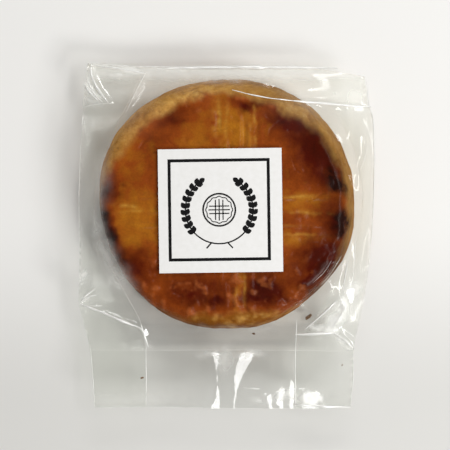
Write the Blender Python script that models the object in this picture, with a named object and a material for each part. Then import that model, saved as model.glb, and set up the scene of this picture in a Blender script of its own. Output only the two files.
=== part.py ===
# A galette cookie sealed in a clear gusseted film bag, with a square paper label stuck on top.
# Metres, +Z up. The origin is the middle of the cookie's flat base. The bag's open tail points along -Y.
import math

import bmesh
import bpy
import numpy as np
from mathutils import Matrix, Vector, noise

MM = 0.001

# Cookie: a thick butter biscuit, baked in a ring and brushed with egg.
COOKIE_WIDTH = 64.0 * MM
COOKIE_DEPTH = 62.4 * MM
COOKIE_HEIGHT = 13.4 * MM
DOME_RISE = 0.6 * MM
BASE_ROUND = 1.0 * MM
SIDE_LEAN = 1.3 * MM
SHOULDER_INSET = 3.2 * MM
SHOULDER_DROP = 3.4 * MM
TOP_SHIFT = Vector((-1.0 * MM, -0.6 * MM))
COOKIE_SEGMENTS = 72
TOP_RINGS = 7
# The baked outline isn't a true circle: waves round it as (count, height, angle of a crest).
OUTLINE_WAVES = ((1, 0.45 * MM, 107.0), (3, 0.37 * MM, 22.0), (4, 0.28 * MM, 59.0))
CRUMB_HEIGHT = 0.3 * MM
CRUMB_SIZE = 4.0 * MM
LUMP_HEIGHT = 0.25 * MM
LUMP_SIZE = 13.0 * MM

# Fork marks: one pass along Y and one along X, that cross under the label.
TINES = 4
TINE_PITCH = 3.3 * MM
TINE_RADIUS = 0.7 * MM
TINE_DEPTH = 0.5 * MM
PASS_ALONG_Y_AT = 2.2 * MM
PASS_ALONG_X_AT = -3.8 * MM
FORK_REACH = 27.6 * MM
FORK_STEPS = 16
FORK_WANDER = 0.3 * MM

# Bag: a flat film tube with a tucked gusset down each side.
BAG_TOP = 33.8 * MM
SEAL_AT = -36.3 * MM
TAIL_END = -50.3 * MM
BODY_HALF_WIDTH = 36.2 * MM
TOP_HALF_WIDTH = 34.9 * MM
TAIL_HALF_WIDTH = 32.2 * MM
TAIL_SIDE_SHIFT = -1.2 * MM
GUSSET_DEPTH = 13.4 * MM
MID_LEVEL = 6.9 * MM
CREASE_SPREAD = 3.1 * MM
NOTCH_DEPTH = 2.2 * MM
TAIL_THICKNESS = 0.7 * MM
GUSSET_STEP = 0.25 * MM
SEAL_THICKNESS = 0.5 * MM
TAIL_WAVE = 0.8 * MM
TAIL_WAVE_LENGTH = 46.0 * MM
TAIL_RISE = 1.2 * MM
SKIN = 0.45 * MM
GAP = 0.3 * MM
BAG_COLUMNS = 30
POUCH_ROWS = 29
TOP_CROWDING = 1.2
TAIL_ROWS = 6
FILM_PASSES = 900
FILM_MARGIN = 1.3 * MM
# Under the pack the film leaves the table this far outside the cookie, at this slope at most.
BACK_TUCK = 0.7 * MM
BACK_SLOPE = 3.2
# Folds that stand up from the cookie's rim to a corner: (start, end, height, half width).
CORNER_FOLDS = (
    ((-22.0, -27.0), (-35.0, -23.5), 1.3, 2.6),
    ((22.5, -25.5), (32.5, -32.0), 1.3, 2.6),
    ((-24.0, 22.0), (-33.0, 32.0), 1.2, 2.4),
    ((24.0, 24.0), (34.0, 23.0), 1.1, 2.4),
)

# Label: a paper square.
LABEL_SIDE = 30.0 * MM
LABEL_THICKNESS = 0.2 * MM
LABEL_AT = Vector((-1.8 * MM, -1.9 * MM))
LABEL_TURN = math.radians(0.8)
LABEL_CELLS = 6

MATERIALS = {
    "baked_dough": {"colour": (0.36, 0.13, 0.028), "roughness": 0.5, "alpha": 1.0},
    "clear_film": {"colour": (0.92, 0.93, 0.91), "roughness": 0.08, "alpha": 0.22},
    "label_paper": {"colour": (0.84, 0.84, 0.83), "roughness": 0.55, "alpha": 1.0},
}


def clear_scene():
    for obj in list(bpy.data.objects):
        bpy.data.objects.remove(obj, do_unlink=True)


def smooth_step(low, high, value):
    share = min(1.0, max(0.0, (value - low) / (high - low)))
    return share * share * (3.0 - 2.0 * share)


def principled(name):
    settings = MATERIALS[name]
    material = bpy.data.materials.new(name)
    material.use_nodes = True
    shader = material.node_tree.nodes["Principled BSDF"]
    shader.inputs["Base Color"].default_value = (*settings["colour"], 1.0)
    shader.inputs["Roughness"].default_value = settings["roughness"]
    shader.inputs["Metallic"].default_value = 0.0
    shader.inputs["Alpha"].default_value = settings["alpha"]
    return material


def new_object(name, mesh_builder, material_name):
    mesh = bpy.data.meshes.new(name)
    mesh_builder.normal_update()
    mesh_builder.to_mesh(mesh)
    mesh_builder.free()
    obj = bpy.data.objects.new(name, mesh)
    bpy.context.scene.collection.objects.link(obj)
    if material_name:
        mesh.materials.append(principled(material_name))
    return obj


def make_cutter(obj):
    obj.hide_render = True
    obj.display_type = "WIRE"


# Cookie

def outline_radius(angle):
    """Distance from the cookie's middle to its widest outline in this direction."""
    half_x = COOKIE_WIDTH / 2
    half_y = COOKIE_DEPTH / 2
    ellipse = half_x * half_y / math.hypot(half_y * math.cos(angle), half_x * math.sin(angle))
    waves = sum(
        height * math.cos(count * (angle - math.radians(crest)))
        for count, height, crest in OUTLINE_WAVES
    )
    return ellipse + waves


def side_profile():
    """Rings up the cookie as (share of the radius, inset from the outline, height)."""
    rings = [(1.0, BASE_ROUND, 0.0)]
    for step in (1, 2):
        turn = step * math.pi / 4
        rings.append((1.0, BASE_ROUND * (1 - math.sin(turn)), BASE_ROUND * (1 - math.cos(turn))))
    side_top = COOKIE_HEIGHT - SHOULDER_DROP
    for step in range(1, 5):
        share = step / 4
        rings.append((1.0, SIDE_LEAN * share**1.6, BASE_ROUND + (side_top - BASE_ROUND) * share))
    for step in range(1, 5):
        turn = step * math.pi / 8
        inset = SIDE_LEAN + SHOULDER_INSET * (1 - math.cos(turn))
        rings.append((1.0, inset, side_top + SHOULDER_DROP * math.sin(turn)))
    for step in range(1, TOP_RINGS):
        share = 1 - step / TOP_RINGS
        rings.append((share, SIDE_LEAN + SHOULDER_INSET, COOKIE_HEIGHT + dome_height(share)))
    return rings


def dome_height(share):
    """How far the top has risen at this share of the way out to its edge."""
    return DOME_RISE * (1 - share * share)


def crumb_relief(point):
    fine = noise.noise(point / CRUMB_SIZE) * CRUMB_HEIGHT
    coarse = noise.noise(point / LUMP_SIZE + Vector((7.0, 3.0, 1.0))) * LUMP_HEIGHT
    return fine + coarse


def cookie_mesh(offset, base_height):
    """The cookie's closed skin, moved out by offset, with its flat base at base_height."""
    build = bmesh.new()
    profile = side_profile()
    middle_radius = COOKIE_WIDTH / 2
    rings = []
    for index, (share, inset, height) in enumerate(profile):
        before = profile[max(0, index - 1)]
        after = profile[min(len(profile) - 1, index + 1)]
        run = after[0] * (middle_radius - after[1]) - before[0] * (middle_radius - before[1])
        climb = after[2] - before[2]
        length = math.hypot(run, climb)
        outward = climb / length
        upward = -run / length
        ring = []
        for segment in range(COOKIE_SEGMENTS):
            angle = 2 * math.pi * segment / COOKIE_SEGMENTS
            radius = share * (outline_radius(angle) - inset)
            shift = TOP_SHIFT * (height / COOKIE_HEIGHT)
            place = Vector((radius * math.cos(angle) + shift.x, radius * math.sin(angle) + shift.y, height))
            push = offset
            if index:
                push += crumb_relief(place)
            place += Vector((math.cos(angle) * outward, math.sin(angle) * outward, upward)) * push
            if index == 0:
                place = Vector((place.x, place.y, base_height))
            ring.append(build.verts.new(place))
        rings.append(ring)
    bridge_rings(build, rings)
    build.faces.new(list(reversed(rings[0])))
    build.faces.new(rings[-1])
    return build


def bridge_rings(build, rings):
    for lower, upper in zip(rings, rings[1:]):
        count = len(lower)
        for side in range(count):
            after = (side + 1) % count
            build.faces.new((lower[side], lower[after], upper[after], upper[side]))


def cookie_top(x, y):
    """Height of the cookie's smooth top surface, without its crumb, at a point inside its outline."""
    from_middle = Vector((x, y)) - TOP_SHIFT
    angle = math.atan2(from_middle.y, from_middle.x)
    edge = outline_radius(angle) - SIDE_LEAN - SHOULDER_INSET
    distance = from_middle.length
    if distance <= edge:
        return COOKIE_HEIGHT + dome_height(distance / edge)
    across = min(1.0, (distance - edge) / SHOULDER_INSET)
    return COOKIE_HEIGHT - SHOULDER_DROP * (1 - math.sqrt(1 - across * across))


def tube_mesh(points, radius, sides):
    """A closed tube through points that run roughly along X or Y."""
    build = bmesh.new()
    rings = []
    for index, point in enumerate(points):
        ahead = points[min(len(points) - 1, index + 1)] - points[max(0, index - 1)]
        across = ahead.cross(Vector((0, 0, 1))).normalized()
        above = across.cross(ahead).normalized()
        ring = []
        for side in range(sides):
            angle = 2 * math.pi * (side + 0.5) / sides
            ring.append(build.verts.new(point + (across * math.cos(angle) + above * math.sin(angle)) * radius))
        rings.append(ring)
    bridge_rings(build, rings)
    build.faces.new(list(reversed(rings[0])))
    build.faces.new(rings[-1])
    bmesh.ops.recalc_face_normals(build, faces=build.faces)
    return build


def fork_mark(along, across_at, number):
    """One tine's groove cutter: its path follows the top and lifts out of it at both ends."""
    points = []
    for step in range(FORK_STEPS + 1):
        share = 2 * step / FORK_STEPS - 1
        run = FORK_REACH * share
        side = across_at + FORK_WANDER * noise.noise(Vector((run / (9 * MM), number * 3.7, 0.5)))
        x, y = (side, run + TOP_SHIFT.y) if along == "Y" else (run + TOP_SHIFT.x, side)
        bite = TINE_DEPTH * (1 - share**6) - TINE_DEPTH * 0.5 * share**8
        points.append(Vector((x, y, cookie_top(x, y) + TINE_RADIUS - bite)))
    return tube_mesh(points, TINE_RADIUS, 8)


def make_cookie():
    cookie = new_object("cookie", cookie_mesh(0.0, 0.0), "baked_dough")
    marks = bpy.data.collections.new("fork_marks")
    bpy.context.scene.collection.children.link(marks)
    for along, middle in (("Y", PASS_ALONG_Y_AT), ("X", PASS_ALONG_X_AT)):
        for tine in range(TINES):
            across_at = middle + (tine - (TINES - 1) / 2) * TINE_PITCH
            mark = new_object(f"fork_mark_{along}_{tine}", fork_mark(along, across_at, tine), None)
            bpy.context.scene.collection.objects.unlink(mark)
            marks.objects.link(mark)
            make_cutter(mark)
    cut = cookie.modifiers.new("fork marks", "BOOLEAN")
    cut.operation = "DIFFERENCE"
    cut.operand_type = "COLLECTION"
    cut.collection = marks
    cut.solver = "EXACT"
    cookie.data.shade_smooth()
    return cookie


# Bag

def bag_half_width(y):
    at_tail = smooth_step(SEAL_AT, -16 * MM, y)
    at_top = smooth_step(14 * MM, BAG_TOP, y)
    return TAIL_HALF_WIDTH + (BODY_HALF_WIDTH - TAIL_HALF_WIDTH) * at_tail - (
        BODY_HALF_WIDTH - TOP_HALF_WIDTH
    ) * at_top


def bag_middle(y):
    return TAIL_SIDE_SHIFT + (-0.35 * MM - TAIL_SIDE_SHIFT) * smooth_step(SEAL_AT, -10 * MM, y)


def crease_spread(y):
    """Half the height between the front and back creases: nothing at the seals, most at the middle."""
    along = (y - SEAL_AT) / (BAG_TOP - SEAL_AT)
    open_share = math.sin(math.pi * min(1.0, max(0.0, along))) ** 0.6
    return SEAL_THICKNESS / 2 + CREASE_SPREAD * open_share


def tail_level(x, y):
    """Height of the middle of the flat tail, which waves from side to side and lifts at its end."""
    out = smooth_step(SEAL_AT, TAIL_END, -abs(y)) if y < SEAL_AT else 0.0
    out = min(1.0, (SEAL_AT - y) / (SEAL_AT - TAIL_END)) if y < SEAL_AT else out
    wave = TAIL_WAVE * math.sin(2 * math.pi * x / TAIL_WAVE_LENGTH + 0.6)
    return MID_LEVEL + out * (wave + TAIL_RISE * out)


def fold_height(x, y):
    """How far the corner folds lift the front film here."""
    total = 0.0
    here = Vector((x, y))
    for start, end, height, half_width in CORNER_FOLDS:
        start_at = Vector(start) * MM
        along = Vector(end) * MM - start_at
        share = min(1.0, max(0.0, (here - start_at).dot(along) / along.length_squared))
        away = (here - start_at - along * share).length / (half_width * MM)
        total += height * MM * math.sin(math.pi * share) ** 0.7 * max(0.0, 1 - away)
    return total


def tighten(levels, fixed, lowest, highest):
    """Pulls a film tight: each free point settles at the mean of its neighbours, kept off the cookie."""
    for _ in range(FILM_PASSES):
        mean = (levels[:-2, 1:-1] + levels[2:, 1:-1] + levels[1:-1, :-2] + levels[1:-1, 2:]) / 4
        inner = np.where(fixed[1:-1, 1:-1], levels[1:-1, 1:-1], mean)
        levels[1:-1, 1:-1] = np.clip(inner, lowest[1:-1, 1:-1], highest[1:-1, 1:-1])
    return levels


def bag_rows():
    """Y of each row of film points, from the closed top to the end of the tail."""
    pouch = [
        BAG_TOP + (SEAL_AT - BAG_TOP) * (row / POUCH_ROWS) ** TOP_CROWDING
        for row in range(POUCH_ROWS + 1)
    ]
    tail = [SEAL_AT + (TAIL_END - SEAL_AT) * row / TAIL_ROWS for row in range(1, TAIL_ROWS + 1)]
    return pouch + tail


def outside_cookie(x, y):
    """How far this place is outside the cookie's outline; less than nothing inside it."""
    return math.hypot(x, y) - outline_radius(math.atan2(y, x))


def tallest_near(x, y):
    """The cookie's height at this place or close round it, so film between two points clears it too."""
    heights = [0.0]
    for turn in range(9):
        reach = FILM_MARGIN if turn else 0.0
        near_x = x + reach * math.cos(turn * math.pi / 4)
        near_y = y + reach * math.sin(turn * math.pi / 4)
        if outside_cookie(near_x, near_y) < 0:
            heights.append(cookie_top(near_x, near_y))
    return max(heights)


def film_levels(places):
    """Heights of the front and the back film at each place, as two arrays of rows by columns."""
    rows, columns = places.shape[:2]
    front = np.zeros((rows, columns))
    back = np.zeros((rows, columns))
    fixed = np.zeros((rows, columns), bool)
    lowest = np.full((rows, columns), -1.0)
    highest = np.full((rows, columns), 1.0)
    back_highest = np.full((rows, columns), 1.0)
    clearance = GAP + SKIN + (CRUMB_HEIGHT + LUMP_HEIGHT) / 2
    for row in range(rows):
        for column in range(columns):
            x, y = places[row, column]
            spread = crease_spread(y)
            edge = column in (0, columns - 1) or row in (0, POUCH_ROWS) or y < SEAL_AT
            level = tail_level(x, y)
            front[row, column] = level + spread
            back[row, column] = level - spread
            fixed[row, column] = edge
            away = outside_cookie(x, y)
            if away < FILM_MARGIN and not edge:
                lowest[row, column] = tallest_near(x, y) + clearance
            if not edge:
                back_highest[row, column] = max(0.0, BACK_SLOPE * (away - BACK_TUCK))
    front = tighten(front, fixed, lowest, highest)
    back = tighten(back, fixed, np.zeros((rows, columns)), back_highest)
    return front, back


def thicken_tail(front, back, places):
    """Gives the flat tail its layers: two in the middle, and four where the gussets are tucked in."""
    rows, columns = places.shape[:2]
    for row in range(POUCH_ROWS + 1, rows):
        y = places[row, 0][1]
        inner = bag_half_width(y) - GUSSET_DEPTH
        for column in range(columns):
            x = places[row, column][0]
            tucked = abs(x - bag_middle(y)) > inner
            half = TAIL_THICKNESS / 2 + (GUSSET_STEP if tucked else 0.0)
            level = tail_level(x, y)
            front[row, column] = level + half
            back[row, column] = level - half


def bag_mesh():
    build = bmesh.new()
    row_places = bag_rows()
    places = np.array(
        [
            [
                (bag_middle(y) + bag_half_width(y) * (2 * column / BAG_COLUMNS - 1), y)
                for column in range(BAG_COLUMNS + 1)
            ]
            for y in row_places
        ]
    )
    front, back = film_levels(places)
    thicken_tail(front, back, places)
    front_points, back_points, notches = [], [], []
    for row, y in enumerate(row_places):
        opened = (crease_spread(y) - SEAL_THICKNESS / 2) / CREASE_SPREAD if y > SEAL_AT else 0.0
        notch = 0.1 * MM + NOTCH_DEPTH * opened
        front_points.append([])
        back_points.append([])
        for column in range(BAG_COLUMNS + 1):
            x = places[row, column][0]
            lift = fold_height(x, y) if 0 < row < POUCH_ROWS else 0.0
            front_points[row].append(build.verts.new((x, y, front[row, column] + lift)))
            back_points[row].append(build.verts.new((x, y, back[row, column])))
        middle_left = (front[row, 0] + back[row, 0]) / 2
        middle_right = (front[row, -1] + back[row, -1]) / 2
        notches.append(
            (
                build.verts.new((places[row, 0][0] + notch, y, middle_left)),
                build.verts.new((places[row, -1][0] - notch, y, middle_right)),
            )
        )
    for row in range(len(row_places) - 1):
        upper, lower = front_points[row], front_points[row + 1]
        under_upper, under_lower = back_points[row], back_points[row + 1]
        for column in range(BAG_COLUMNS):
            build.faces.new((upper[column], lower[column], lower[column + 1], upper[column + 1]))
            build.faces.new((under_upper[column], under_upper[column + 1], under_lower[column + 1], under_lower[column]))
        (left, right), (next_left, next_right) = notches[row], notches[row + 1]
        build.faces.new((upper[0], left, next_left, lower[0]))
        build.faces.new((left, under_upper[0], under_lower[0], next_left))
        build.faces.new((upper[-1], lower[-1], next_right, right))
        build.faces.new((right, next_right, under_lower[-1], under_upper[-1]))
    for row, flip in ((0, False), (len(row_places) - 1, True)):
        for column in range(BAG_COLUMNS):
            close_gap(
                build,
                (
                    front_points[row][column],
                    front_points[row][column + 1],
                    back_points[row][column + 1],
                    back_points[row][column],
                ),
                flip,
            )
        close_gap(build, (front_points[row][0], back_points[row][0], notches[row][0]), flip)
        close_gap(build, (back_points[row][-1], front_points[row][-1], notches[row][1]), flip)
    bmesh.ops.recalc_face_normals(build, faces=build.faces)
    return build


def close_gap(build, corners, flip):
    build.faces.new(tuple(reversed(corners)) if flip else corners)


def make_bag():
    """The pack's outer form as one solid, hollowed from below to take the cookie."""
    bag = new_object("bag", bag_mesh(), "clear_film")
    recess = new_object("cookie_recess", cookie_mesh(GAP, -2.0 * MM), None)
    make_cutter(recess)
    hollow = bag.modifiers.new("cookie recess", "BOOLEAN")
    hollow.operation = "DIFFERENCE"
    hollow.object = recess
    hollow.solver = "EXACT"
    bag.data.shade_smooth()
    return bag


# Label

def label_height():
    """Underside of the label: clear of the film over the crown of the cookie."""
    crown = COOKIE_HEIGHT + DOME_RISE + GAP + SKIN + (CRUMB_HEIGHT + LUMP_HEIGHT) / 2
    return crown + GAP


def make_label():
    """A flat paper square that bends down a little towards its corners, with the film."""
    build = bmesh.new()
    turn = Matrix.Rotation(LABEL_TURN, 3, "Z")
    sheets = []
    for lift in (0.0, LABEL_THICKNESS):
        sheet = []
        for row in range(LABEL_CELLS + 1):
            for column in range(LABEL_CELLS + 1):
                flat = Vector((column / LABEL_CELLS - 0.5, row / LABEL_CELLS - 0.5, 0)) * LABEL_SIDE
                place = turn @ flat + Vector((LABEL_AT.x, LABEL_AT.y, 0))
                from_middle = (Vector(place[:2]) - TOP_SHIFT).length
                edge = COOKIE_WIDTH / 2 - SIDE_LEAN - SHOULDER_INSET
                sag = DOME_RISE - dome_height(from_middle / edge)
                sheet.append(build.verts.new((place.x, place.y, label_height() - sag + lift)))
        sheets.append(sheet)
    across = LABEL_CELLS + 1
    under, upper = sheets
    for row in range(LABEL_CELLS):
        for column in range(LABEL_CELLS):
            first = row * across + column
            corners = (first, first + 1, first + across + 1, first + across)
            build.faces.new([upper[index] for index in corners])
            build.faces.new([under[index] for index in reversed(corners)])
    for cell in range(LABEL_CELLS):
        for first, second in (
            (cell, cell + 1),
            (LABEL_CELLS * across + cell + 1, LABEL_CELLS * across + cell),
            ((cell + 1) * across, cell * across),
            (cell * across + LABEL_CELLS, (cell + 1) * across + LABEL_CELLS),
        ):
            build.faces.new((under[first], under[second], upper[second], upper[first]))
    return new_object("label", build, "label_paper")


clear_scene()
make_cookie()
make_bag()
make_label()
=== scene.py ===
# Looks of a butter galette sealed in a clear gusset bag with a paper label. Values are in millimetres
# until a mesh is made. The bag's tail points along -Y and the camera looks straight down.
import math

import bpy
import numpy as np
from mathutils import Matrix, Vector, noise
from mathutils.geometry import delaunay_2d_cdt
from mathutils.kdtree import KDTree


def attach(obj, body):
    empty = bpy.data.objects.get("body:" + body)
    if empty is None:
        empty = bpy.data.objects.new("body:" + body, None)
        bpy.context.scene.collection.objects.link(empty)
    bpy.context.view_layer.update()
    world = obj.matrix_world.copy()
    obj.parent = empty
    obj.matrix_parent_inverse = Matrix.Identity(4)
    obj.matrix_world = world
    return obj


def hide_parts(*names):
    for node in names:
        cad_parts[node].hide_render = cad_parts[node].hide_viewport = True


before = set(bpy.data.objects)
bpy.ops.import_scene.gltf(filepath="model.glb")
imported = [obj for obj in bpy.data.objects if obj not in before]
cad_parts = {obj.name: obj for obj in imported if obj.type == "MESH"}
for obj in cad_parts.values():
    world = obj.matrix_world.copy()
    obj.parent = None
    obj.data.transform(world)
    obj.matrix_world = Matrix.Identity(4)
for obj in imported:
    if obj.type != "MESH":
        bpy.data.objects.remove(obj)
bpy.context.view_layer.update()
mm = 0.001
bpy.context.scene.view_settings.view_transform = "Standard"
print("frame loaded:", sorted(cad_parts))


# Small helpers

def hexColour(text, alpha=1.0):
    # sRGB hex to the linear values that Blender's shaders take
    parts = [int(text[i:i + 2], 16) / 255 for i in (1, 3, 5)]
    return [p / 12.92 if p <= 0.04045 else ((p + 0.055) / 1.055) ** 2.4 for p in parts] + [alpha]


def addNode(tree, kind, links=None, **settings):
    # settings name a node's own options, links name its sockets: a value, or an output to join
    node = tree.nodes.new(kind)
    for name, value in settings.items():
        setattr(node, name, value)
    for name, value in (links or {}).items():
        if isinstance(value, bpy.types.NodeSocket):
            tree.links.new(value, node.inputs[name])
        else:
            node.inputs[name].default_value = value
    return node


def newMaterial(name):
    material = bpy.data.materials.new(name)
    material.use_nodes = True
    return material, material.node_tree, material.node_tree.nodes["Principled BSDF"]


def ramp(tree, source, stops):
    node = addNode(tree, "ShaderNodeValToRGB", {"Fac": source})
    elements, stops = node.color_ramp.elements, list(stops)
    while len(elements) < len(stops):
        elements.new(0.5)
    for element, (place, colour) in zip(elements, stops):
        element.position = place
        element.color = colour
    return node.outputs["Color"]


def mixColour(tree, amount, first, second, how="MIX"):
    node = addNode(tree, "ShaderNodeMix", data_type="RGBA", blend_type=how)
    for index, value in ((0, amount), (6, first), (7, second)):
        if isinstance(value, bpy.types.NodeSocket):
            tree.links.new(value, node.inputs[index])
        else:
            node.inputs[index].default_value = value
    return node.outputs[2]


def readAttribute(tree, name):
    return addNode(tree, "ShaderNodeAttribute", attribute_name=name).outputs["Fac"]


def maths(tree, how, *values, clamp=False):
    return addNode(tree, "ShaderNodeMath", dict(enumerate(values)), operation=how, use_clamp=clamp).outputs[0]


def grainTexture(tree, size, detail):
    # noise laid through the object, with grains of about this many millimetres
    where = addNode(tree, "ShaderNodeTexCoord").outputs["Object"]
    links = {"Vector": where, "Scale": 1 / (size * mm), "Detail": detail}
    return addNode(tree, "ShaderNodeTexNoise", links).outputs["Fac"]


def saveAttribute(mesh, name, values):
    layer = mesh.attributes.new(name, "FLOAT", "POINT")
    layer.data.foreach_set("value", np.asarray(values, np.float32))


def noiseField(points, size, seed=0.0):
    shift = Vector((seed * 3.1, seed * 7.7, seed * 1.3))
    return np.array([noise.noise(Vector(p) / size + shift) for p in points])


def noiseStack(points, layers):
    # layers of noise: height, size and the number that picks the pattern
    return sum(height * noiseField(points, size, seed) for height, size, seed in layers)


def smoothStep(low, high, value):
    share = np.clip((value - low) / (high - low), 0, 1)
    return share * share * (3 - 2 * share)


def selectOnly(obj):
    bpy.ops.object.select_all(action="DESELECT")
    obj.select_set(True)
    bpy.context.view_layer.objects.active = obj


def meshPoints(mesh):
    points = np.empty(len(mesh.vertices) * 3)
    mesh.vertices.foreach_get("co", points)
    return points.reshape(-1, 3) / mm


def turned(flat, degrees):
    # places in the plane, turned about the middle
    turn = math.radians(degrees)
    return flat @ np.array(((math.cos(turn), math.sin(turn)), (-math.sin(turn), math.cos(turn))))


def putPoints(mesh, points):
    mesh.vertices.foreach_set("co", (np.asarray(points) * mm).ravel())
    mesh.update()


def addMesh(name, points, faces):
    mesh = bpy.data.meshes.new(name)
    mesh.from_pydata((np.asarray(points) * mm).tolist(), [], faces)
    made = bpy.data.objects.new(name, mesh)
    bpy.context.scene.collection.objects.link(made)
    return made


def vertexNormals(mesh):
    normals = np.empty(len(mesh.vertices) * 3)
    mesh.vertex_normals.foreach_get("vector", normals)
    return normals.reshape(-1, 3)


def polylineDistance(x, y, corners):
    # distance to a broken line, and how far along it (0 to 1) the nearest place is
    best = np.full(np.shape(x), 1e9)
    along = np.zeros(np.shape(x))
    lengths = [math.dist(a, b) for a, b in zip(corners, corners[1:])]
    total = sum(lengths)
    run = 0.0
    for (ax, ay), (bx, by), length in zip(corners, corners[1:], lengths):
        share = np.clip(((x - ax) * (bx - ax) + (y - ay) * (by - ay)) / length**2, 0, 1)
        away = np.hypot(x - ax - share * (bx - ax), y - ay - share * (by - ay))
        nearer = away < best
        best = np.where(nearer, away, best)
        along = np.where(nearer, (run + share * length) / total, along)
        run += length
    return best, along


# Camera: a phone held level above the table

cameraLook = {"place": (-0.7, -5.4, 370.0), "fieldAtTable": 113.4, "sensor": 36.0}
camera = bpy.data.objects.new("camera", bpy.data.cameras.new("camera"))
camera.location = Vector(cameraLook["place"]) * mm
camera.data.sensor_width = cameraLook["sensor"]
camera.data.lens = cameraLook["sensor"] * cameraLook["place"][2] / cameraLook["fieldAtTable"]
camera.data.clip_start = 0.01
bpy.context.scene.collection.objects.link(camera)
bpy.context.scene.camera = camera
print("camera placed")


# Cookie: the CAD solid's form, a little fuller low on the right, with its crumb, glaze and fork marks

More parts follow.
